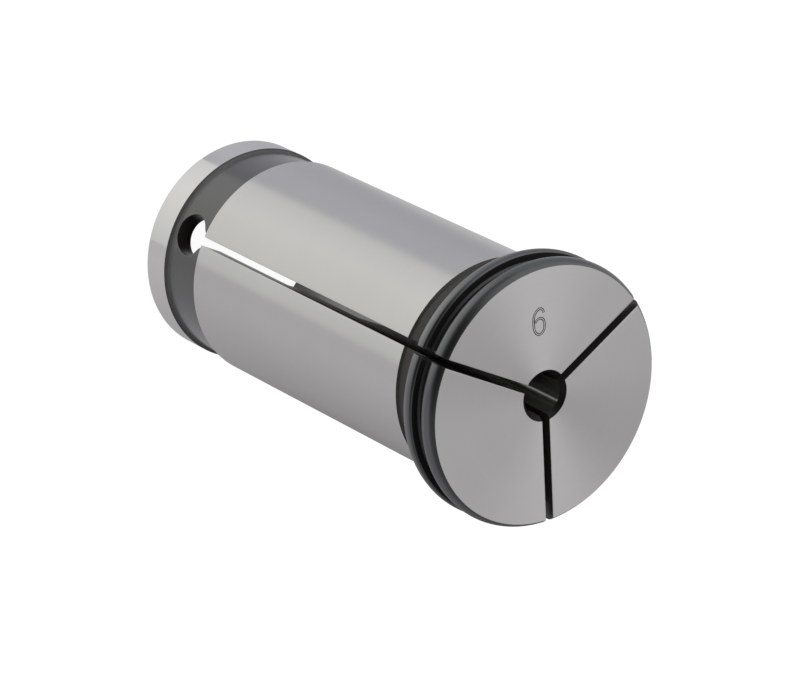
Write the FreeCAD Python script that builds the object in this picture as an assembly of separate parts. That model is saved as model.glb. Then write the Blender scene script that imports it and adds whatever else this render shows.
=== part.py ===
import FreeCAD, Part
import math
import os

from FreeCAD import Vector

# Straight collet for a milling chuck: one turned and ground steel sleeve, slit into three jaws.
# It stands on its rear end at z = 0, with its axis on Z and its front face on top.
# All sizes are in millimetres.

# Overall
overall_length = 74.0

# Tool bore, at the front
tool_bore_d = 6.0
grip_length = 30.0
bore_mouth_chamfer = 0.65

# Hollow behind the tool bore, open at the rear, in two steps
rear_hollow_d = 25.5
rear_hollow_depth = 30.0
rear_hollow_chamfer = 0.2
middle_hollow_d = 20.6

# Ring at the rear end, uncut, that ties the three jaws together
ring_d = 31.6
ring_length = 4.5
ring_chamfer = 0.05

# Shallow groove between the ring and the ground shank
spring_groove_d = 30.6
spring_groove_length = 8.0
spring_groove_fillet = 0.45

# Ground shank, the surface that the chuck squeezes
shank_d = 32.0
shank_chamfer = 0.05

# Neck between the shank and the flange, which the shank slopes down to
neck_d = 31.4
neck_length = 4.8
neck_bevel = 0.3

# Flange with two crowned lips and a groove between them. Each lip is widest at its crest, which lies at its
# own height above the lip's rear side, and curves in from there to both of its edges.
flange_d = 37.8
rear_lip_thickness = 2.15
rear_lip_crest = 1.6
rear_lip_rear_inset = 0.53
rear_lip_front_inset = 0.3
front_lip_thickness = 2.45
front_lip_crest = 0.95
front_lip_rear_inset = 0.22
front_lip_front_inset = 0.7
flange_groove_width = 2.3
flange_groove_depth = 1.5
flange_groove_bevel = 0.28

# Slits that part the jaws, each one ending in a drilled hole
jaw_count = 3
slit_width = 1.2
slit_hole_d = 6.0
slit_hole_height = 8.4
slit_blend = 3.0

# Cutters run past the surface that they leave by this much
cutter_overrun = 5.0

# Levels along the axis, from the rear face
ring_front_z = ring_length
shank_rear_z = ring_front_z + spring_groove_length
front_lip_rear_z = overall_length - front_lip_thickness
rear_lip_front_z = front_lip_rear_z - flange_groove_width
flange_rear_z = rear_lip_front_z - rear_lip_thickness
shank_front_z = flange_rear_z - neck_length
bore_rear_z = overall_length - grip_length

# Radii
tool_bore_r = tool_bore_d / 2
rear_hollow_r = rear_hollow_d / 2
middle_hollow_r = middle_hollow_d / 2
ring_r = ring_d / 2
spring_groove_r = spring_groove_d / 2
shank_r = shank_d / 2
neck_r = neck_d / 2
flange_r = flange_d / 2
flange_groove_r = flange_r - flange_groove_depth
slit_hole_r = slit_hole_d / 2

# Bevel, fillet and crests, held within their walls
groove_wall = flange_groove_depth - max(rear_lip_front_inset, front_lip_rear_inset)
groove_bevel = min(flange_groove_bevel, 0.49 * flange_groove_width, 0.98 * groove_wall)
spring_fillet = min(spring_groove_fillet, 0.98 * (ring_r - spring_groove_r))
rear_crest = min(rear_lip_crest, 0.9 * rear_lip_thickness)
front_crest = min(front_lip_crest, 0.9 * front_lip_thickness)


class Outline:
    """Half section of the sleeve, drawn in the XZ plane as runs from point to point."""

    def __init__(self, radius, height):
        self.first = Vector(radius, 0, height)
        self.last = self.first
        self.edges = []

    def to(self, radius, height):
        """Straight run to a point."""
        end = Vector(radius, 0, height)
        self.edges.append(Part.LineSegment(self.last, end).toShape())
        self.last = end

    def arc_about(self, centre, turn):
        """Arc about a centre through a turn."""
        spoke = self.last - centre
        start_turn = math.atan2(spoke.z, spoke.x)
        spots = []
        for share in (0.5, 1):
            at = start_turn + turn * share
            spots.append(centre + Vector(math.cos(at), 0, math.sin(at)) * spoke.Length)
        self.edges.append(Part.Arc(self.last, *spots).toShape())
        self.last = spots[1]

    def crowned_lip(self, height, crest, rear_inset, front_inset):
        """From the rear edge of a lip over its crest to its front edge, as two arcs that meet smoothly."""
        for rise, inset, turn_at_start in ((crest, rear_inset, -1), (height - crest, front_inset, 0)):
            radius = (inset ** 2 + rise ** 2) / (2 * inset)
            turn = 2 * math.atan2(inset, rise)
            spoke_turn = turn * turn_at_start
            spoke = Vector(math.cos(spoke_turn), 0, math.sin(spoke_turn)) * radius
            self.arc_about(self.last - spoke, turn)

    def close(self):
        self.to(self.first.x, self.first.z)
        return Part.Wire(self.edges)


def turned_sleeve():
    """The sleeve as it leaves the lathe, before the slits."""
    outline = Outline(rear_hollow_r + rear_hollow_chamfer, 0)
    # Rear face and ring
    outline.to(ring_r - ring_chamfer, 0)
    outline.to(ring_r, ring_chamfer)
    outline.to(ring_r, ring_front_z)
    # Spring groove
    outline.to(spring_groove_r + spring_fillet, ring_front_z)
    outline.arc_about(outline.last + Vector(0, 0, spring_fillet), -math.pi / 2)
    outline.to(spring_groove_r, shank_rear_z)
    # Ground shank, down to the neck
    outline.to(shank_r - shank_chamfer, shank_rear_z)
    outline.to(shank_r, shank_rear_z + shank_chamfer)
    outline.to(shank_r, shank_front_z - (shank_r - neck_r))
    outline.to(neck_r, shank_front_z)
    # Neck
    outline.to(neck_r, flange_rear_z - neck_bevel)
    outline.to(neck_r + neck_bevel, flange_rear_z)
    # Rear lip
    outline.to(flange_r - rear_lip_rear_inset, flange_rear_z)
    outline.crowned_lip(rear_lip_thickness, rear_crest, rear_lip_rear_inset, rear_lip_front_inset)
    # Groove of the flange
    outline.to(flange_groove_r + groove_bevel, rear_lip_front_z)
    outline.to(flange_groove_r, rear_lip_front_z + groove_bevel)
    outline.to(flange_groove_r, front_lip_rear_z - groove_bevel)
    outline.to(flange_groove_r + groove_bevel, front_lip_rear_z)
    # Front lip
    outline.to(flange_r - front_lip_rear_inset, front_lip_rear_z)
    outline.crowned_lip(front_lip_thickness, front_crest, front_lip_rear_inset, front_lip_front_inset)
    # Front face and tool bore
    outline.to(tool_bore_r + bore_mouth_chamfer, overall_length)
    outline.to(tool_bore_r, overall_length - bore_mouth_chamfer)
    outline.to(tool_bore_r, bore_rear_z)
    # Stepped hollow
    outline.to(middle_hollow_r, bore_rear_z)
    outline.to(middle_hollow_r, rear_hollow_depth)
    outline.to(rear_hollow_r, rear_hollow_depth)
    outline.to(rear_hollow_r, rear_hollow_chamfer)
    section = Part.Face(outline.close())
    return section.revolve(Vector(0, 0, 0), Vector(0, 0, 1), 360)


def slit_cutter():
    """Keyhole-shaped cutter for the jaw gap along +X: a slit that opens smoothly into its end hole."""
    half_slit = slit_width / 2
    top_z = overall_length + cutter_overrun
    # Centre of the arc that blends the hole into the slit, on the +Y side
    blend_y = half_slit + slit_blend
    blend_rise = math.sqrt((slit_hole_r + slit_blend) ** 2 - blend_y ** 2)
    blend_z = slit_hole_height + blend_rise
    # Where that arc leaves the hole
    share = slit_hole_r / (slit_hole_r + slit_blend)
    leave_y = blend_y * share
    leave_z = slit_hole_height + blend_rise * share
    # Middle of the arc, towards the corner that it rounds off
    middle_y = blend_y - slit_blend * math.cos(math.atan2(blend_rise, blend_y) / 2)
    middle_z = blend_z - slit_blend * math.sin(math.atan2(blend_rise, blend_y) / 2)

    def point(y, z):
        return Vector(0, y, z)

    hole_bottom = point(0, slit_hole_height - slit_hole_r)
    edges = [
        Part.Arc(point(leave_y, leave_z), hole_bottom, point(-leave_y, leave_z)).toShape(),
        Part.Arc(point(-leave_y, leave_z), point(-middle_y, middle_z), point(-half_slit, blend_z)).toShape(),
        Part.LineSegment(point(-half_slit, blend_z), point(-half_slit, top_z)).toShape(),
        Part.LineSegment(point(-half_slit, top_z), point(half_slit, top_z)).toShape(),
        Part.LineSegment(point(half_slit, top_z), point(half_slit, blend_z)).toShape(),
        Part.Arc(point(half_slit, blend_z), point(middle_y, middle_z), point(leave_y, leave_z)).toShape(),
    ]
    keyhole = Part.Face(Part.Wire(edges))
    return keyhole.extrude(Vector(flange_r + cutter_overrun, 0, 0))


def slit_collet():
    """The finished collet: the turned sleeve with a jaw gap cut at each even turn."""
    collet = turned_sleeve()
    for jaw in range(jaw_count):
        cutter = slit_cutter()
        cutter.rotate(Vector(0, 0, 0), Vector(0, 0, 1), jaw * 360 / jaw_count)
        collet = collet.cut(cutter)
    return collet.Solids[0]


os.makedirs("parts", exist_ok=True)
collet = slit_collet()
collet.exportStep("parts/collet.step")
print("collet: valid", collet.isValid(), "volume mm3", round(collet.Volume, 1))
print("size mm", [round(size, 3) for size in (
    collet.BoundBox.XLength, collet.BoundBox.YLength, collet.BoundBox.ZLength)])
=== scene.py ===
import math

import bpy
from mathutils import Matrix, Quaternion, Vector


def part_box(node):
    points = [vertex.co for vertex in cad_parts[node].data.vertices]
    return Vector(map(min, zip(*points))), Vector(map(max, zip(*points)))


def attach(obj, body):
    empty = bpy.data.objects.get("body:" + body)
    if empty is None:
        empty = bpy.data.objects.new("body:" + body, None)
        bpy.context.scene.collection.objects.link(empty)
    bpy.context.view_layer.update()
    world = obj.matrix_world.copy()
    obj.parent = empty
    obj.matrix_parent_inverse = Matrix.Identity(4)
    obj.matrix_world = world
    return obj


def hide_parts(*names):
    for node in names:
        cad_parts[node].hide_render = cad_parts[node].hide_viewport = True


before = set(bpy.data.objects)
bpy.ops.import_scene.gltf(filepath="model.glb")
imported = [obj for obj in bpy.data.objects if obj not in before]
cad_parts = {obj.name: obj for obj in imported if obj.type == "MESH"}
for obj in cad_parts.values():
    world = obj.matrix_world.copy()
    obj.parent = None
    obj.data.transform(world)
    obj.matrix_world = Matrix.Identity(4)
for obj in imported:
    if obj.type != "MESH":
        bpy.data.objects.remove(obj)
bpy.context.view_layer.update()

# Looks of a straight milling chuck collet: one turned, ground and slit steel sleeve.
# The collet is drawn as the outline of its half section, which a node tree turns about the axis, parts into
# jaws with keyhole slits, gives broken edges and engraves with its bore size.
# Sizes are in millimetres, and the tree scales its result to metres.

MM = 0.001

# Overall size, from the frame
collet_low, collet_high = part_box("collet")
overall_length = (collet_high[2] - collet_low[2]) / MM

# Tool bore
tool_bore_r = 3.0
grip_length = 30.0
bore_mouth_chamfer = 0.65

# Hollow behind the bore
rear_hollow_r = 12.75
rear_hollow_depth = 30.0
rear_hollow_chamfer = 0.2
middle_hollow_r = 10.3

# Rear ring and spring groove. The floor of the groove is as dull as its rear wall up to its dull height.
ring_r = 15.8
ring_length = 4.5
ring_chamfer = 0.05
spring_groove_r = 15.3
spring_groove_length = 8.0
spring_groove_fillet = 0.45
spring_groove_dull_height = 1.0

# Ground shank and neck
shank_r = 16.0
shank_chamfer = 0.05
neck_r = 15.7
neck_length = 4.8
neck_fillet = 0.3

# Flange: two crowned lips and a groove between them. Each lip is widest at its crest, and carries a
# painted highlight up to its highlight height that fades out at its crest, both measured from its rear side.
flange_r = 18.9
rear_lip_thickness = 2.15
rear_lip_crest = 1.6
rear_lip_highlight_height = 0.3
rear_lip_rear_inset = 0.53
rear_lip_front_inset = 0.3
front_lip_thickness = 2.45
front_lip_crest = 0.95
front_lip_highlight_height = 0.2
front_lip_rear_inset = 0.22
front_lip_front_inset = 0.7
flange_groove_width = 2.3
flange_groove_r = 17.4
flange_groove_bevel = 0.28

# Keyhole slits
jaw_count = 3
slit_width = 1.2
slit_hole_d = 6.0
slit_hole_height = 8.4
slit_blend = 3.0

# Broken edges along the slits and round their holes
edge_break = 0.06
edge_break_facets = 3

# How finely the sleeve is drawn
jaw_facets = 96
round_facets = 8
hole_step_degrees = 6.0
blend_step_degrees = 7.0
merge_distance = 0.004
crease_degrees = 28.0

# Engraved bore size on the front face of one jaw: a digit whose middle lies at an azimuth and a radius, and
# is shifted to its own right. Its strokes are two cutter tracks side by side.
mark_azimuth = -60.0
mark_radius = 10.88
mark_shift = -0.545
mark_track_gap = 0.26
mark_track_facets = 4
mark_cutter_r = 0.075
mark_cutter_lift = 0.02
mark_cutter_facets = 10

# Levels along the axis
ring_front_z = ring_length
shank_rear_z = ring_front_z + spring_groove_length
front_lip_rear_z = overall_length - front_lip_thickness
rear_lip_front_z = front_lip_rear_z - flange_groove_width
flange_rear_z = rear_lip_front_z - rear_lip_thickness
shank_front_z = flange_rear_z - neck_length
bore_rear_z = overall_length - grip_length

# Finishes of the steel, in the order of the numbers that the faces carry
FINISHES = (
    "rear_end", "ring", "ring_wall", "spring_groove", "shank", "neck", "flange_back", "rear_lip",
    "head_groove", "front_lip", "front_face", "bore_mouth", "bore", "hollow", "slit_wall", "engraving",
)


class Tree:
    """A node tree that is being laid out. A plug is a plain value or another node's socket."""

    def __init__(self, owner):
        self.nodes = owner.nodes
        self.links = owner.links

    def plug(self, value, socket):
        if isinstance(value, bpy.types.NodeSocket):
            self.links.new(value, socket)
        else:
            socket.default_value = value

    def lay(self, kind, plugs=None, **settings):
        """A new node, with plugs by the name or the number of its sockets."""
        node = self.nodes.new(kind)
        for setting, value in settings.items():
            setattr(node, setting, value)
        for key, value in (plugs or {}).items():
            self.plug(value, node.inputs[key])
        return node

    def result(self, kind, plugs=None, **settings):
        """The first output of a new node."""
        return self.lay(kind, plugs, **settings).outputs[0]

    def math(self, operation, *values):
        return self.result("ShaderNodeMath", dict(enumerate(values)), operation=operation)

    def vector(self, x, y, z):
        return self.result("ShaderNodeCombineXYZ", {"X": x, "Y": y, "Z": z})

    def scaled(self, vector, scale):
        return self.result("ShaderNodeVectorMath", {"Vector": vector, "Scale": scale}, operation="SCALE")

    def parts_of(self, vector):
        return self.lay("ShaderNodeSeparateXYZ", {"Vector": vector}).outputs

    def length_of(self, x, y):
        return self.math("SQRT", self.math("ADD", self.math("POWER", x, 2.0), self.math("POWER", y, 2.0)))

    def between(self, share, start, end):
        return self.math("MULTIPLY_ADD", share, self.math("SUBTRACT", end, start), start)

    def span(self, value, low, high, new_low=0.0, new_high=1.0, **settings):
        """The value carried over from one range to another, held at its ends."""
        plugs = {"Value": value, "From Min": low, "From Max": high, "To Min": new_low, "To Max": new_high}
        return self.result("ShaderNodeMapRange", plugs, **settings)

    def colour_between(self, share, start, end):
        """Colour of a Mix node, whose colour sockets go by number, because others share their names."""
        return self.lay("ShaderNodeMix", {0: share, 6: start, 7: end}, data_type="RGBA").outputs[2]

    def shader_between(self, share, start, end):
        return self.result("ShaderNodeMixShader", {0: share, 1: start, 2: end})


def tone(red, green, blue):
    return (red, green, blue, 1.0)


def grey(level):
    return tone(level, level, level)


def blank_material(name):
    """A material with an empty node tree, and that tree."""
    material = bpy.data.materials.new(name)
    material.use_nodes = True
    material.node_tree.nodes.clear()
    return material, Tree(material.node_tree)


# Half section

def keyhole_levels():
    """Heights at which a hole, its broken edge and its blend into the slit are drawn."""
    hole_r = slit_hole_d / 2
    reach = hole_r + slit_blend
    blend_y = slit_width / 2 + slit_blend
    blend_rise = math.sqrt(reach ** 2 - blend_y ** 2)
    blend_turn = math.atan2(blend_rise, blend_y)
    hole_turn = math.pi / 2 + blend_turn
    hole_steps = round(math.degrees(hole_turn) / hole_step_degrees)
    blend_steps = round(math.degrees(blend_turn) / blend_step_degrees)
    levels = []
    for facet in range(1, edge_break_facets + 1):
        turn = math.pi / 2 * facet / edge_break_facets
        levels.append(slit_hole_height - hole_r - edge_break * (1 - math.cos(turn)))
    for step in range(hole_steps + 1):
        levels.append(slit_hole_height - hole_r * math.cos(hole_turn * step / hole_steps))
    for step in range(1, blend_steps + 1):
        turn = blend_turn * (1 - step / blend_steps)
        levels.append(slit_hole_height + blend_rise - slit_blend * math.sin(turn))
    return sorted(levels)


class SectionLine:
    """Outline of the half section, with the steel on the left: points (radius, height, finish of the run
    that follows)."""

    def __init__(self, radius, height):
        self.place = Vector((radius, height))
        self.points = []

    def to(self, radius, height, finish):
        """Straight run to a point."""
        self.points.append((self.place.x, self.place.y, finish))
        self.place = Vector((radius, height))

    def arc_about(self, centre, turn, finish):
        """Arc about a centre through a turn."""
        spoke = self.place - centre
        for facet in range(1, round_facets + 1):
            spot = centre + Matrix.Rotation(turn * facet / round_facets, 2) @ spoke
            self.to(spot.x, spot.y, finish)

    def crowned_lip(self, height, crest, rear_inset, front_inset, finish):
        """From the rear edge of a lip over its crest to its front edge, as two arcs that meet smoothly."""
        for rise, inset, turn_at_start in ((crest, rear_inset, -1), (height - crest, front_inset, 0)):
            radius = (inset ** 2 + rise ** 2) / (2 * inset)
            turn = 2 * math.atan2(inset, rise)
            spoke_turn = turn * turn_at_start
            spoke = Vector((math.cos(spoke_turn), math.sin(spoke_turn))) * radius
            self.arc_about(self.place - spoke, turn, finish)


def section_line():
    line = SectionLine(rear_hollow_r + rear_hollow_chamfer, 0)
    # Rear face and ring
    line.to(ring_r - ring_chamfer, 0, "rear_end")
    line.to(ring_r, ring_chamfer, "rear_end")
    line.to(ring_r, ring_front_z, "ring")
    # Spring groove
    line.to(spring_groove_r + spring_groove_fillet, ring_front_z, "ring_wall")
    line.arc_about(line.place + Vector((0, spring_groove_fillet)), -math.pi / 2, "ring_wall")
    line.to(spring_groove_r, ring_front_z + spring_groove_dull_height, "ring_wall")
    line.to(spring_groove_r, shank_rear_z, "spring_groove")
    line.to(shank_r - shank_chamfer, shank_rear_z, "spring_groove")
    # Ground shank, down to the neck
    line.to(shank_r, shank_rear_z + shank_chamfer, "shank")
    line.to(shank_r, shank_front_z - (shank_r - neck_r), "shank")
    line.to(neck_r, shank_front_z, "neck")
    # Neck
    line.to(neck_r, flange_rear_z - neck_fillet, "neck")
    line.arc_about(line.place + Vector((neck_fillet, 0)), -math.pi / 2, "neck")
    # Rear lip
    line.to(flange_r - rear_lip_rear_inset, flange_rear_z, "flange_back")
    line.crowned_lip(
        rear_lip_thickness, rear_lip_crest, rear_lip_rear_inset, rear_lip_front_inset, "rear_lip")
    # Groove of the flange
    line.to(flange_groove_r + flange_groove_bevel, rear_lip_front_z, "head_groove")
    line.to(flange_groove_r, rear_lip_front_z + flange_groove_bevel, "head_groove")
    line.to(flange_groove_r, front_lip_rear_z - flange_groove_bevel, "head_groove")
    line.to(flange_groove_r + flange_groove_bevel, front_lip_rear_z, "head_groove")
    # Front lip
    line.to(flange_r - front_lip_rear_inset, front_lip_rear_z, "head_groove")
    line.crowned_lip(
        front_lip_thickness, front_lip_crest, front_lip_rear_inset, front_lip_front_inset, "front_lip")
    # Front face and tool bore
    line.to(tool_bore_r + bore_mouth_chamfer, overall_length, "front_face")
    line.to(tool_bore_r, overall_length - bore_mouth_chamfer, "bore_mouth")
    line.to(tool_bore_r, bore_rear_z, "bore")
    # Stepped hollow
    line.to(middle_hollow_r, bore_rear_z, "hollow")
    line.to(middle_hollow_r, rear_hollow_depth, "hollow")
    line.to(rear_hollow_r, rear_hollow_depth, "hollow")
    line.to(rear_hollow_r, rear_hollow_chamfer, "hollow")
    line.to(rear_hollow_r + rear_hollow_chamfer, 0, "hollow")
    return line.points


def crossed_by(points, levels):
    """The same outline with a point wherever it crosses one of the levels."""
    crossed = []
    for index, (radius, height, finish) in enumerate(points):
        next_radius, next_height = points[(index + 1) % len(points)][:2]
        crossed.append((radius, height, finish))
        low = min(height, next_height) + merge_distance
        high = max(height, next_height) - merge_distance
        rise = next_height - height
        for level in sorted((level for level in levels if low < level < high), reverse=rise < 0):
            share = (level - height) / rise
            crossed.append((radius + (next_radius - radius) * share, level, finish))
    return crossed


def ways_inward(places):
    """For each place on the outline, the move into the steel that sets both of its runs back by one
    millimetre."""
    ways = []
    for index, here in enumerate(places):
        before = here - places[index - 1]
        after = places[(index + 1) % len(places)] - here
        first = Vector((-before.y, before.x)).normalized()
        second = Vector((-after.y, after.x)).normalized()
        ways.append((first + second) / (1 + first.dot(second)))
    return ways


def half_section():
    """The outline as a loop of edges, drawn flat: radius along X, height along Y."""
    radii, heights, finishes = zip(*crossed_by(section_line(), keyhole_levels()))
    places = [Vector(place) for place in zip(radii, heights)]
    count = len(places)
    edges = [(index, (index + 1) % count) for index in range(count)]
    mesh = bpy.data.meshes.new("half_section")
    mesh.from_pydata([place.to_3d() for place in places], edges, [])
    finish_numbers = mesh.attributes.new("finish", "INT", "POINT")
    finish_numbers.data.foreach_set("value", [FINISHES.index(finish) for finish in finishes])
    inward = mesh.attributes.new("inward", "FLOAT_VECTOR", "POINT")
    for spot, way in zip(inward.data, ways_inward(places)):
        spot.vector = (way.x, way.y, 0)
    return mesh


# Engraved bore size

def mark_middle_line():
    """Middle of the strokes of a 6, drawn flat about the middle of the digit."""
    # Right and up: the hooked arm, the stem and the bowl
    strokes = [
        (0.82, 1.14), (0.77, 1.56), (0.36, 1.87), (-0.17, 1.75), (-0.61, 1.32), (-0.84, 0.82),
        (-0.91, 0.25), (-0.91, -0.70), (-0.74, -1.32), (-0.36, -1.76), (0.06, -1.87), (0.50, -1.74),
        (0.80, -1.38), (0.915, -0.85), (0.915, -0.25), (0.74, 0.17), (0.36, 0.43), (-0.02, 0.45),
        (-0.38, 0.30), (-0.62, -0.02),
    ]
    guide = bpy.data.curves.new("mark_guide", "CURVE")
    guide.dimensions = "2D"
    guide.fill_mode = "NONE"
    spline = guide.splines.new("NURBS")
    spline.points.add(len(strokes) - 1)
    for point, (right, up) in zip(spline.points, strokes):
        point.co = (right, up, 0, 1)
    spline.order_u = 4
    spline.use_endpoint_u = True
    spline.resolution_u = mark_track_facets
    guide_object = bpy.data.objects.new("mark_guide", guide)
    line = bpy.data.meshes.new_from_object(guide_object)
    middle = [vertex.co.to_2d() for vertex in line.vertices]
    bpy.data.objects.remove(guide_object)
    bpy.data.curves.remove(guide)
    bpy.data.meshes.remove(line)
    return middle


def mark_track():
    """Closed track of the cutter on the front face: along one side of the strokes, back along the other."""
    middle = mark_middle_line()
    left = []
    right = []
    for index, here in enumerate(middle):
        along = (middle[min(index + 1, len(middle) - 1)] - middle[max(index - 1, 0)]).normalized()
        aside = Vector((-along.y, along.x)) * (mark_track_gap / 2)
        left.append(here + aside)
        right.append(here - aside)
    loop = left + right[::-1]

    azimuth = math.radians(mark_azimuth)
    up_way = Vector((math.cos(azimuth), math.sin(azimuth)))
    right_way = Vector((up_way.y, -up_way.x))
    centre = up_way * mark_radius + right_way * mark_shift
    track = bpy.data.curves.new("mark_track", "CURVE")
    track.dimensions = "3D"
    spline = track.splines.new("POLY")
    spline.points.add(len(loop) - 1)
    spline.use_cyclic_u = True
    for point, place in zip(spline.points, loop):
        spot = centre + right_way * place.x + up_way * place.y
        point.co = (spot.x, spot.y, overall_length + mark_cutter_lift, 1)
    made = bpy.data.objects.new("mark_track", track)
    bpy.context.scene.collection.objects.link(made)
    return made


# Node tree of the collet

def attribute(tree, name, kind):
    return tree.result("GeometryNodeInputNamedAttribute", {"Name": name}, data_type=kind)


def with_finish(tree, geometry, number):
    """The geometry with the number of a finish on its faces."""
    plugs = {"Geometry": geometry, "Name": "finish", "Value": number}
    return tree.result("GeometryNodeStoreNamedAttribute", plugs, data_type="INT", domain="FACE")


def at_turn(tree, radius, turn, height):
    """Place at a radius and a height, turned about the axis."""
    return tree.vector(
        tree.math("MULTIPLY", radius, tree.math("COSINE", turn)),
        tree.math("MULTIPLY", radius, tree.math("SINE", turn)),
        height)


def half_gap(tree, slit, height, offset):
    """Half the width of the keyhole at a height, for an outline that lies offset outside the real one."""
    hole_r = tree.math("MULTIPLY", slit["hole"], 0.5)
    reach = tree.math("ADD", hole_r, slit["blend"])
    blend_y = tree.math("MULTIPLY_ADD", slit["width"], 0.5, slit["blend"])
    rise_squared = tree.math("SUBTRACT", tree.math("POWER", reach, 2.0), tree.math("POWER", blend_y, 2.0))
    blend_rise = tree.math("SQRT", rise_squared)
    offset_hole_r = tree.math("ADD", hole_r, offset)
    offset_blend = tree.math("SUBTRACT", slit["blend"], offset)
    leave_rise = tree.math("MULTIPLY", blend_rise, tree.math("DIVIDE", offset_hole_r, reach))
    above = tree.math("SUBTRACT", height, slit["height"])

    def half_chord(radius, distance):
        distance_squared = tree.math("MULTIPLY", distance, distance)
        squared = tree.math("SUBTRACT", tree.math("POWER", radius, 2.0), distance_squared)
        return tree.math("SQRT", tree.math("MAXIMUM", squared, 0.0))

    in_hole = half_chord(offset_hole_r, above)
    below_blend = tree.math("MAXIMUM", tree.math("SUBTRACT", blend_rise, above), 0.0)
    in_slit = tree.math("SUBTRACT", blend_y, half_chord(offset_blend, below_blend))
    past_hole = tree.math("GREATER_THAN", above, leave_rise)
    plugs = {"Switch": past_hole, "False": in_hole, "True": in_slit}
    return tree.result("GeometryNodeSwitch", plugs, input_type="FLOAT")


def jaw_shell(tree, section, slit, facets, break_facets):
    """All turned surfaces of one jaw: the half section swept from one gap to the next, with broken edges."""
    point_count = tree.result("GeometryNodeAttributeDomainSize", {"Geometry": section}, component="MESH")
    row_count = tree.math("ADD", point_count, 1.0)
    last_column = tree.math("MULTIPLY_ADD", break_facets, 2.0, facets)
    column_count = tree.math("ADD", last_column, 1.0)
    grid = tree.result("GeometryNodeMeshGrid", {"Vertices X": column_count, "Vertices Y": row_count})
    index = tree.result("GeometryNodeInputIndex")

    def sampled(value, kind, at):
        plugs = {"Geometry": section, "Value": value, "Index": at}
        return tree.result("GeometryNodeSampleIndex", plugs, data_type=kind, domain="POINT")

    # Finish of each face, from the run of the section that it lies on
    face_row = tree.math("MODULO", index, point_count)
    grid = with_finish(tree, grid, sampled(attribute(tree, "finish", "INT"), "INT", face_row))

    # Row and column of each point
    row = tree.math("MODULO", tree.math("MODULO", index, row_count), point_count)
    column = tree.math("FLOOR", tree.math("DIVIDE", index, row_count))
    place = tree.parts_of(sampled(tree.result("GeometryNodeInputPosition"), "FLOAT_VECTOR", row))
    inward = tree.parts_of(sampled(attribute(tree, "inward", "FLOAT_VECTOR"), "FLOAT_VECTOR", row))
    from_gap = tree.math("MINIMUM", column, tree.math("SUBTRACT", last_column, column))
    break_share = tree.math("MINIMUM", tree.math("DIVIDE", from_gap, break_facets), 1.0)
    break_cosine = tree.math("COSINE", tree.math("MULTIPLY", break_share, math.pi / 2))
    offset = tree.math("MULTIPLY", slit["break"], tree.math("SUBTRACT", 1.0, break_cosine))

    # Depth of the broken edge below the turned surface, which fades out under the hole
    hole_bottom = tree.math("MULTIPLY_ADD", slit["hole"], -0.5, slit["height"])
    below_hole = tree.math("SUBTRACT", hole_bottom, place["Y"])
    reach = tree.math("MINIMUM", tree.math("MAXIMUM", offset, below_hole), slit["break"])
    twice_less = tree.math("SUBTRACT", tree.math("MULTIPLY", slit["break"], 2.0), reach)
    arc = tree.math("SQRT", tree.math("MAXIMUM", tree.math("MULTIPLY", reach, twice_less), 0.0))
    depth = tree.math("SUBTRACT", slit["break"], arc)
    radius = tree.math("MULTIPLY_ADD", inward["X"], depth, place["X"])
    height = tree.math("MULTIPLY_ADD", inward["Y"], depth, place["Y"])

    # Turn of each point about the axis
    gap_turn = tree.math("ARCSINE", tree.math("DIVIDE", half_gap(tree, slit, height, offset), radius))
    share = tree.math("DIVIDE", tree.math("SUBTRACT", column, break_facets), facets)
    share = tree.math("MINIMUM", tree.math("MAXIMUM", share, 0.0), 1.0)
    turn = tree.between(share, gap_turn, tree.math("SUBTRACT", slit["jaw turn"], gap_turn))
    plugs = {"Geometry": grid, "Position": at_turn(tree, radius, turn, height)}
    return tree.result("GeometryNodeSetPosition", plugs)


def slit_walls(tree, section, slit):
    """The two faces that the slits leave on one jaw: the half section filled in, and set at half the gap."""
    parts = tree.parts_of(tree.result("GeometryNodeInputPosition"))
    hole_bottom = tree.math("MULTIPLY_ADD", slit["hole"], -0.5, slit["height"])
    under = tree.math("LESS_THAN", parts["Y"], tree.math("SUBTRACT", hole_bottom, merge_distance / 2))
    plugs = {"Geometry": section, "Selection": under}
    upper = tree.result("GeometryNodeDeleteGeometry", plugs, domain="POINT")
    set_back = tree.scaled(attribute(tree, "inward", "FLOAT_VECTOR"), slit["break"])
    upper = tree.result("GeometryNodeSetPosition", {"Geometry": upper, "Offset": set_back})
    outline = tree.result("GeometryNodeMeshToCurve", {"Mesh": upper})
    outline = tree.result("GeometryNodeSetSplineCyclic", {"Geometry": outline, "Cyclic": True})
    wall = tree.result("GeometryNodeFillCurve", {"Curve": outline}, mode="TRIANGLES")
    wall = with_finish(tree, wall, FINISHES.index("slit_wall"))
    gap_turn = tree.math("ARCSINE", tree.math("DIVIDE", half_gap(tree, slit, parts["Y"], 0.0), parts["X"]))
    walls = []
    for turn in (gap_turn, tree.math("SUBTRACT", slit["jaw turn"], gap_turn)):
        plugs = {"Geometry": wall, "Position": at_turn(tree, parts["X"], turn, parts["Y"])}
        walls.append(tree.result("GeometryNodeSetPosition", plugs))
    first, last = walls
    return first, tree.result("GeometryNodeFlipFaces", {"Mesh": last})


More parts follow.
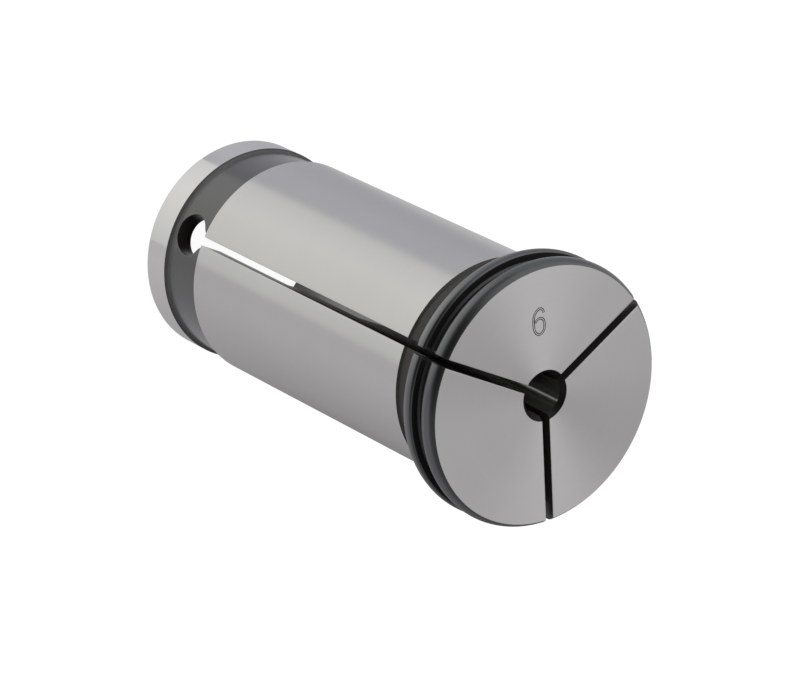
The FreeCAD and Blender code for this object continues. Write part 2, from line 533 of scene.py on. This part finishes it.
def collet_tree(finishes):
    """Node tree that turns the half section into the whole collet."""
    group = bpy.data.node_groups.new("slit_collet", "GeometryNodeTree")
    tree = Tree(group)
    source = tree.lay("NodeGroupInput")

    def size(name, kind="NodeSocketFloat"):
        """Socket of a new named input."""
        group.interface.new_socket(name=name, in_out="INPUT", socket_type=kind)
        return source.outputs[name]

    section = size("Half section", "NodeSocketGeometry")
    jaws = size("Jaws", "NodeSocketInt")
    slit = {
        "width": size("Slit width"),
        "hole": size("Hole diameter"),
        "height": size("Hole height"),
        "blend": size("Blend radius"),
        "break": size("Edge break"),
        "jaw turn": tree.math("DIVIDE", 2 * math.pi, jaws),
    }
    facets = size("Facets of a jaw", "NodeSocketInt")
    break_facets = size("Facets of an edge break", "NodeSocketInt")
    track = size("Mark track", "NodeSocketObject")
    cutter_r = size("Mark cutter radius")
    cutter_facets = size("Facets of the mark cutter", "NodeSocketInt")
    group.interface.new_socket(name="Collet", in_out="OUTPUT", socket_type="NodeSocketGeometry")

    # One jaw, then all of them round the axis, welded below the holes
    jaw = tree.lay("GeometryNodeJoinGeometry")
    for surface in (jaw_shell(tree, section, slit, facets, break_facets), *slit_walls(tree, section, slit)):
        tree.plug(surface, jaw.inputs[0])
    seats = tree.result("GeometryNodePoints", {"Count": jaws})
    seat_turn = tree.math("MULTIPLY", tree.result("GeometryNodeInputIndex"), slit["jaw turn"])
    ring = tree.result("GeometryNodeInstanceOnPoints", {
        "Points": seats, "Instance": jaw.outputs[0], "Rotation": tree.vector(0.0, 0.0, seat_turn)})
    body = tree.result("GeometryNodeRealizeInstances", {"Geometry": ring})
    body = tree.result("GeometryNodeMergeByDistance", {"Geometry": body, "Distance": merge_distance})

    # Engraving
    path = tree.lay("GeometryNodeObjectInfo", {"Object": track}, transform_space="ORIGINAL")
    profile = tree.result("GeometryNodeCurvePrimitiveCircle", {
        "Resolution": cutter_facets, "Radius": cutter_r})
    cutter = tree.result("GeometryNodeCurveToMesh", {
        "Curve": path.outputs["Geometry"], "Profile Curve": profile})
    cutter = with_finish(tree, cutter, FINISHES.index("engraving"))
    plugs = {"Mesh 1": body, "Mesh 2": cutter}
    body = tree.result("GeometryNodeMeshBoolean", plugs, operation="DIFFERENCE", solver="MANIFOLD")

    # Creases and real size
    body = tree.result("GeometryNodeSetShadeSmooth", {"Geometry": body, "Shade Smooth": True}, domain="FACE")
    angle = tree.result("GeometryNodeInputMeshEdgeAngle")
    crease = tree.math("GREATER_THAN", angle, math.radians(crease_degrees))
    plugs = {"Geometry": body, "Selection": crease, "Shade Smooth": False}
    body = tree.result("GeometryNodeSetShadeSmooth", plugs, domain="EDGE")
    body = tree.result("GeometryNodeTransform", {"Geometry": body, "Scale": (MM, MM, MM)})
    body = tree.result("GeometryNodeRealizeInstances", {"Geometry": body})

    # Finishes
    number = attribute(tree, "finish", "INT")
    for index, name in enumerate(FINISHES):
        on_finish = tree.math("COMPARE", number, float(index), 0.5)
        plugs = {"Geometry": body, "Selection": on_finish, "Material": finishes[name]}
        body = tree.result("GeometryNodeSetMaterial", plugs)
    tree.lay("NodeGroupOutput", {"Collet": body})
    return group


def set_inputs(modifier, values):
    """Sets inputs of a modifier, given by their names, through the sockets' identifiers."""
    identifiers = {}
    for item in modifier.node_group.interface.items_tree:
        if item.in_out == "INPUT":
            identifiers[item.name] = item.identifier
    for name, value in values.items():
        modifier[identifiers[name]] = value


def slit_collet(finishes):
    """The whole collet as one plain mesh, in metres, standing on its rear end."""
    drawing = bpy.data.objects.new("half_section", half_section())
    bpy.context.scene.collection.objects.link(drawing)
    track = mark_track()
    modifier = drawing.modifiers.new("slit_collet", "NODES")
    modifier.node_group = collet_tree(finishes)
    set_inputs(modifier, {
        "Jaws": jaw_count,
        "Slit width": slit_width,
        "Hole diameter": slit_hole_d,
        "Hole height": slit_hole_height,
        "Blend radius": slit_blend,
        "Edge break": edge_break,
        "Facets of a jaw": jaw_facets,
        "Facets of an edge break": edge_break_facets,
        "Mark track": track,
        "Mark cutter radius": mark_cutter_r,
        "Facets of the mark cutter": mark_cutter_facets,
    })
    evaluated = drawing.evaluated_get(bpy.context.evaluated_depsgraph_get())
    mesh = bpy.data.meshes.new_from_object(evaluated)
    bpy.data.objects.remove(drawing)
    bpy.data.objects.remove(track)
    mesh.name = "collet_steel"
    piece = bpy.data.objects.new("collet_steel", mesh)
    bpy.context.scene.collection.objects.link(piece)
    return piece


# Finishes

# Tool lines and clouds, both from noise between two levels. The lines run round the axis, wander a little on
# the way, and are finer by the radius share on a flat face.
noise_low = 0.3
noise_high = 0.7
line_wander = 60.0
line_roughness = 0.02
radius_share = 2.3
cloud_scale = 90.0
cloud_share = 0.5

# Lie of the grain, as a share of a turn from the way round the axis
grain_turn = 0.25

# Film of oil
oil_roughness = 0.25
oil_ior = 1.5


def turned_steel(name, dark, light, roughness, anisotropy=0.0, line_pitch=0.16, line_depth=0.0002,
                 metallic=1.0, oil=0.0, painted_light=None):
    """Steel with tool lines in rings round the axis: their tone, roughness and relief, under a soft cloud.
    Oil is the weight of a clear film. Painted light (factor, start, end) scales the tone by its factor up to
    the start level along the axis, and then by less and less, up to the plain tone at the end level. A
    factor below 1 paints shade into the tone, and one above 1 a highlight."""
    material, tree = blank_material(name)
    place = tree.lay("ShaderNodeTexCoord").outputs["Object"]
    parts = tree.parts_of(place)
    # Runs on along the outline of the section, and is the same all round the axis
    run = tree.math("MULTIPLY_ADD", tree.length_of(parts["X"], parts["Y"]), radius_share, parts["Z"])
    lines_at = tree.vector(
        tree.math("MULTIPLY", parts["X"], line_wander),
        tree.math("MULTIPLY", parts["Y"], line_wander),
        tree.math("MULTIPLY", run, 1 / (line_pitch * MM)))
    lines = tree.result("ShaderNodeTexNoise", {
        "Vector": lines_at, "Scale": 1.0, "Detail": 3.0, "Roughness": 0.6})
    clouds = tree.result("ShaderNodeTexNoise", {
        "Vector": place, "Scale": cloud_scale, "Detail": 3.0, "Roughness": 0.5})
    line = tree.span(lines, noise_low, noise_high)
    shade = tree.between(cloud_share, line, tree.span(clouds, noise_low, noise_high))
    paint = tree.colour_between(shade, dark, light)
    # Painted light: shade or a highlight painted into the tone, fading along the axis
    if painted_light:
        factor, start, end = painted_light
        paint = tree.scaled(paint, tree.span(parts["Z"], start * MM, end * MM, factor, 1.0))
    dull = roughness + line_roughness / 2
    bright = roughness - line_roughness / 2
    relief = {"Strength": 1.0, "Distance": line_depth * MM, "Height": line}
    plugs = {
        "Base Color": paint,
        "Metallic": metallic,
        "Roughness": tree.span(shade, 0.0, 1.0, dull, bright),
        "Normal": tree.result("ShaderNodeBump", relief),
        "Anisotropic": anisotropy,
        "Anisotropic Rotation": grain_turn,
        "Coat Weight": oil,
        "Coat Roughness": oil_roughness,
        "Coat IOR": oil_ior,
    }
    if anisotropy:
        plugs["Tangent"] = tree.result("ShaderNodeTangent", direction_type="RADIAL", axis="Z")
    tree.lay("ShaderNodeOutputMaterial", {"Surface": tree.result("ShaderNodeBsdfPrincipled", plugs)})
    return material


def collet_finishes():
    """A material for each finish."""
    ground = {"anisotropy": 0.8, "line_pitch": 0.14}
    matt = {"metallic": 0.5, "line_depth": 0.001}
    dark_lip = (tone(0.125, 0.128, 0.130), tone(0.152, 0.155, 0.157))
    hole_top_z = slit_hole_height + slit_hole_d / 2
    # Painted shade: the spring groove is darkened where it meets the ring, fading out up the fillet.
    ring_wall_painted_shade = (0.55, ring_front_z, ring_front_z + spring_groove_fillet)
    # Painted highlight: the rear lip is brightened along its rear edge, fading out at its crest.
    rear_lip_painted_highlight = (1.7, flange_rear_z + rear_lip_highlight_height, flange_rear_z + rear_lip_crest)
    # Painted shade: the rear wall of the flange's groove is darkened, fading out along its bevel.
    groove_root_painted_shade = (0.65, rear_lip_front_z, rear_lip_front_z + flange_groove_bevel)
    # Painted highlight: the front lip is brightened along its rear edge, fading out at its crest.
    front_lip_painted_highlight = (1.3, front_lip_rear_z + front_lip_highlight_height, front_lip_rear_z + front_lip_crest)
    # Painted shade: the slit walls are darkened up to the top of the holes, fading out at the depth of the
    # rear hollow.
    hole_painted_shade = (0.65, hole_top_z, rear_hollow_depth)
    return {
        "rear_end": turned_steel(
            "rear_end_steel", tone(0.50, 0.49, 0.48), tone(0.56, 0.55, 0.54), 0.3, 0.5),
        "ring": turned_steel(
            "ring_steel", tone(0.65, 0.638, 0.625), tone(0.675, 0.662, 0.65), 0.22, **ground),
        "ring_wall": turned_steel(
            "ring_wall_steel", grey(0.11), grey(0.14), 0.4, 0.4, metallic=0.6, painted_light=ring_wall_painted_shade),
        "spring_groove": turned_steel(
            "spring_groove_steel", tone(0.09, 0.09, 0.089), tone(0.106, 0.106, 0.104), 0.26, 0.5, oil=0.7),
        "shank": turned_steel(
            "ground_shank_steel", tone(0.567, 0.554, 0.542), tone(0.59, 0.577, 0.565), 0.22, **ground),
        "neck": turned_steel(
            "neck_steel", tone(0.042, 0.039, 0.036), tone(0.06, 0.056, 0.052), 0.5, 0.3, **matt),
        "flange_back": turned_steel(
            "flange_back_steel", grey(0.08), grey(0.11), 0.4, 0.3),
        "rear_lip": turned_steel(
            "rear_lip_steel", *dark_lip, 0.3, 0.4, painted_light=rear_lip_painted_highlight),
        "head_groove": turned_steel(
            "head_groove_steel", tone(0.085, 0.085, 0.087), tone(0.11, 0.11, 0.113), 0.34, 0.3,
            metallic=0.92, painted_light=groove_root_painted_shade),
        "front_lip": turned_steel(
            "front_lip_steel", *dark_lip, 0.3, 0.4, painted_light=front_lip_painted_highlight),
        "front_face": turned_steel(
            "front_face_steel", tone(0.651, 0.639, 0.638), tone(0.688, 0.676, 0.674), 0.4, 0.9),
        "bore_mouth": turned_steel(
            "bore_mouth_steel", tone(0.024, 0.024, 0.023), tone(0.036, 0.036, 0.034), 0.4, 0.4),
        "bore": turned_steel(
            "bore_steel", tone(0.36, 0.36, 0.34), tone(0.44, 0.44, 0.42), 0.2, 0.4, metallic=0.94),
        "hollow": turned_steel(
            "hollow_steel", tone(0.28, 0.28, 0.27), tone(0.38, 0.38, 0.365), 0.35, 0.3),
        "slit_wall": turned_steel(
            "slit_wall_steel", tone(0.055, 0.051, 0.046), tone(0.08, 0.074, 0.068), 0.33,
            metallic=0.8, painted_light=hole_painted_shade),
        "engraving": turned_steel(
            "engraving_steel", tone(0.10, 0.09, 0.08), tone(0.16, 0.15, 0.135), 0.5),
    }


# Camera

# The photograph's view of the collet: where the camera stands, how it leans, its lens, and what it looks at
camera_azimuth = math.radians(-6.17)
camera_distance = 404.35
camera_height = 515.09
camera_roll = math.radians(116.337)
camera_lens = 198.144
camera_near = 10.0
camera_far = 20000.0
aim_height = 43.14
aim_aside = 1.393


def photo_camera():
    towards = Vector((math.cos(camera_azimuth), math.sin(camera_azimuth), 0))
    aside = Vector((-towards.y, towards.x, 0))
    stand = (towards * camera_distance + Vector((0, 0, camera_height))) * MM
    aim = (aside * aim_aside + Vector((0, 0, aim_height))) * MM
    data = bpy.data.cameras.new("photo_camera")
    data.lens = camera_lens
    data.clip_start = camera_near * MM
    data.clip_end = camera_far * MM
    camera = bpy.data.objects.new("photo_camera", data)
    bpy.context.scene.collection.objects.link(camera)
    camera.rotation_mode = "QUATERNION"
    camera.location = stand
    level = (aim - stand).to_track_quat("-Z", "Y")
    camera.rotation_quaternion = level @ Quaternion((0, 0, 1), camera_roll)
    bpy.context.scene.camera = camera


# Studio

# The studio is laid out about one azimuth, its front, which is the side that the photograph shows. Its turns
# are measured from there.
front_azimuth = camera_azimuth

# Turns of the straight edges of the bright band along the shank
band_upper_turn = math.radians(-34.5)
band_lower_turn = math.radians(18.0)

# Floor, just below the collet. In the steel it darkens between two distances from the axis.
floor_reach = 6000.0
floor_drop = 0.1
floor_paint = 0.8
floor_shadow_paint = 0.08
floor_white = 0.96
table_near = 110.0
table_far = 330.0
table_far_tone = 0.12

# Cards on the floor beside the collet. Edges that run out from the pivot, in front of the axis, are mirrored
# as straight lines along the shank.
card_reach = 3000.0
card_lift = 0.2
card_steps = 24
mirror_pivot = 9.0

# World. Directions go by their lift, from 0 level to 1 straight up: the walls turn into the ceiling, and the
# ceiling into one tone overhead.
wall_top = 0.58
ceiling_foot = 0.80
ceiling_top = 0.88
overhead_foot = 0.98
overhead_tone = 0.56
soft_light = 0.35


def flat_mesh(name, points, height):
    mesh = bpy.data.meshes.new(name)
    mesh.from_pydata([(x, y, height) for x, y in points], [], [list(range(len(points)))])
    made = bpy.data.objects.new(name, mesh)
    bpy.context.scene.collection.objects.link(made)
    return made


def ahead_and_across(tree, vector):
    """How far a place or a direction lies towards the front, and how far across."""
    parts = tree.parts_of(vector)
    ahead = tree.math("ADD", tree.math("MULTIPLY", parts["X"], math.cos(front_azimuth)),
                      tree.math("MULTIPLY", parts["Y"], math.sin(front_azimuth)))
    across = tree.math("SUBTRACT", tree.math("MULTIPLY", parts["Y"], math.cos(front_azimuth)),
                       tree.math("MULTIPLY", parts["X"], math.sin(front_azimuth)))
    return ahead, across


def turn_about_pivot(tree, ahead, across):
    """Turn from the front to a place on the table, about the pivot."""
    return tree.math("ARCTAN2", across, tree.math("SUBTRACT", ahead, mirror_pivot * MM))


def ramp(tree, share, stops):
    """Greys (share, level) or colours (share, red, green, blue) along a share from 0 to 1."""
    node = tree.lay("ShaderNodeValToRGB", {"Fac": share})
    elements = node.color_ramp.elements
    for index, (at, *colour) in enumerate(stops):
        element = elements[index] if index < 2 else elements.new(at)
        element.position = at
        element.color = grey(*colour) if len(colour) == 1 else tone(*colour)
    return node.outputs["Color"]


def all_round(tree, turn, stops):
    """Greys or colours whose stops are turns in degrees, from -180 to 180."""
    share = tree.span(turn, -math.pi, math.pi)
    return ramp(tree, share, [(at / 360 + 0.5, *colour) for at, *colour in stops])


def white_floor():
    """Pale floor: white to the eye, with the collet's soft shadow on it. In the steel it is a white table
    that darkens with distance and away from its brightest turn."""
    reach = floor_reach * MM
    corners = [(-reach, -reach), (reach, -reach), (reach, reach), (-reach, reach)]
    floor = flat_mesh("floor", corners, -floor_drop * MM)
    material, tree = blank_material("white_floor")
    paint = tree.result("ShaderNodeBsdfDiffuse", {"Color": grey(floor_paint)})
    shadow_paint = tree.result("ShaderNodeBsdfDiffuse", {"Color": grey(floor_shadow_paint)})
    white = tree.result("ShaderNodeEmission", {"Color": grey(1.0), "Strength": floor_white})
    to_eye = tree.result("ShaderNodeAddShader", {0: shadow_paint, 1: white})

    ahead, across = ahead_and_across(tree, tree.lay("ShaderNodeTexCoord").outputs["Object"])
    table = all_round(tree, turn_about_pivot(tree, ahead, across), [
        (-70, 0.87, 0.88, 0.885), (-56, 0.925, 0.935, 0.935), (-40, 0.99, 0.985, 0.98),
        (-33, 1.0, 1.0, 0.99), (-16, 0.962, 0.962, 0.942), (0, 0.933, 0.933, 0.913),
        (25, 0.83, 0.85, 0.85), (38, 0.78, 0.795, 0.80)])
    far_share = tree.span(
        tree.length_of(ahead, across), table_near * MM, table_far * MM, interpolation_type="SMOOTHSTEP")
    shade = tree.colour_between(far_share, table, grey(table_far_tone))
    mirrored = tree.result("ShaderNodeEmission", {"Color": shade, "Strength": 1.0})

    path = tree.lay("ShaderNodeLightPath").outputs
    seen = tree.math("MAXIMUM", path["Is Camera Ray"], path["Is Transmission Ray"])
    plain = tree.shader_between(seen, paint, to_eye)
    surface = tree.shader_between(path["Is Glossy Ray"], plain, mirrored)
    tree.lay("ShaderNodeOutputMaterial", {"Surface": surface})
    floor.data.materials.append(material)


def grey_card(name, band_turn, stops):
    """Grey card on the floor beside the collet, mirrored in the steel outside the bright band. The stops of
    its colours are turns in degrees, from 0 at the front to 180 at the back."""
    foot = front_azimuth + band_turn
    edge = front_azimuth + 2 * band_turn
    side = 1 if band_turn > 0 else -1
    sweep = math.pi - 2 * abs(band_turn)
    points = [(0, 0), (shank_r * math.cos(foot), shank_r * math.sin(foot))]
    for step in range(card_steps + 1):
        azimuth = edge + side * sweep * step / card_steps
        points.append((card_reach * math.cos(azimuth), card_reach * math.sin(azimuth)))
    if side < 0:
        points.reverse()
    card = flat_mesh(name, [(x * MM, y * MM) for x, y in points], card_lift * MM)
    card.visible_camera = False
    card.visible_diffuse = False
    card.visible_shadow = False
    material, tree = blank_material(name)
    ahead, across = ahead_and_across(tree, tree.lay("ShaderNodeTexCoord").outputs["Object"])
    turn = tree.math("ABSOLUTE", turn_about_pivot(tree, ahead, across))
    share = tree.math("DIVIDE", turn, math.pi)
    colour = ramp(tree, share, [(at / 180, *colour) for at, *colour in stops])
    glow = tree.result("ShaderNodeEmission", {"Color": colour, "Strength": 1.0})
    tree.lay("ShaderNodeOutputMaterial", {"Surface": glow})
    card.data.materials.append(material)


def studio_world():
    """White backdrop to the eye. The steel mirrors soft greys: walls, dark at the front, and a ceiling."""
    world = bpy.data.worlds.new("studio")
    bpy.context.scene.world = world
    world.use_nodes = True
    world.node_tree.nodes.clear()
    tree = Tree(world.node_tree)
    way = tree.lay("ShaderNodeTexCoord").outputs["Generated"]
    ahead, across = ahead_and_across(tree, way)
    turn = tree.math("ARCTAN2", across, ahead)
    walls = all_round(tree, turn, [
        (-180, 0.50), (-145, 0.80), (-122, 1.0), (-98, 0.82), (-67, 0.80), (-50, 0.62), (-34, 0.20),
        (-16, 0.05), (34, 0.05), (54, 0.19), (96, 0.25), (115, 0.29), (150, 0.29), (180, 0.50)])
    ceiling = all_round(tree, turn, [
        (-180, 0.60), (-145, 0.93), (-125, 1.3), (-100, 1.05), (-60, 0.55), (-15, 0.22), (15, 0.20),
        (60, 0.55), (100, 0.75), (140, 0.64), (180, 0.60)])
    lift = tree.parts_of(way)["Z"]
    shade = tree.colour_between(tree.span(lift, wall_top, ceiling_foot), walls, ceiling)
    shade = tree.colour_between(tree.span(lift, ceiling_top, overhead_foot), shade, grey(overhead_tone))
    soft = tree.result("ShaderNodeBackground", {"Color": grey(1.0), "Strength": soft_light})
    mirrored = tree.result("ShaderNodeBackground", {"Color": shade, "Strength": 1.0})
    white = tree.result("ShaderNodeBackground", {"Color": grey(1.0), "Strength": 1.0})
    path = tree.lay("ShaderNodeLightPath").outputs
    unseen = tree.shader_between(path["Is Glossy Ray"], soft, mirrored)
    surface = tree.shader_between(path["Is Camera Ray"], unseen, white)
    tree.lay("ShaderNodeOutputWorld", {"Surface": surface})


def soft_lamp(name, azimuth, elevation, distance, size, power):
    """Square area lamp that looks at the middle of the collet. Angles are in degrees, distance and size in
    metres, power in watts."""
    data = bpy.data.lights.new(name, "AREA")
    data.size = size
    data.energy = power
    lamp = bpy.data.objects.new(name, data)
    bpy.context.scene.collection.objects.link(lamp)
    turn = math.radians(azimuth)
    lift = math.radians(elevation)
    back = Vector((math.cos(turn) * math.cos(lift), math.sin(turn) * math.cos(lift), math.sin(lift)))
    lamp.location = back * distance + Vector((0, 0, overall_length / 2 * MM))
    lamp.rotation_mode = "QUATERNION"
    lamp.rotation_quaternion = (-back).to_track_quat("-Z", "Y")
    lamp.visible_glossy = False


def studio():
    white_floor()
    grey_card("upper_card", band_upper_turn, [
        (69, 0.591, 0.601, 0.646), (79, 0.63, 0.635, 0.678), (92, 0.606, 0.609, 0.659),
        (105, 0.558, 0.567, 0.61), (120, 0.529, 0.534, 0.569), (127, 0.548, 0.553, 0.582),
        (131, 0.644, 0.649, 0.673), (140, 0.668, 0.673, 0.688), (180, 0.673, 0.673, 0.683)])
    grey_card("lower_card", band_lower_turn, [
        (36, 0.635, 0.63, 0.654), (56, 0.663, 0.65, 0.673), (70, 0.623, 0.617, 0.635),
        (92, 0.55, 0.543, 0.564), (106, 0.495, 0.488, 0.503), (120, 0.44, 0.433, 0.442),
        (133, 0.365, 0.36, 0.37), (140, 0.327, 0.317, 0.327), (180, 0.19, 0.19, 0.19)])
    studio_world()
    soft_lamp("key_lamp", azimuth=-70.0, elevation=58.0, distance=1.0, size=0.7, power=9.0)
    soft_lamp("fill_lamp", azimuth=60.0, elevation=45.0, distance=1.2, size=0.9, power=3.8)


# The scene

photo_camera()
studio()
collet = slit_collet(collet_finishes())
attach(collet, "root")
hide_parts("collet")

bpy.context.scene.view_settings.view_transform = "Standard"
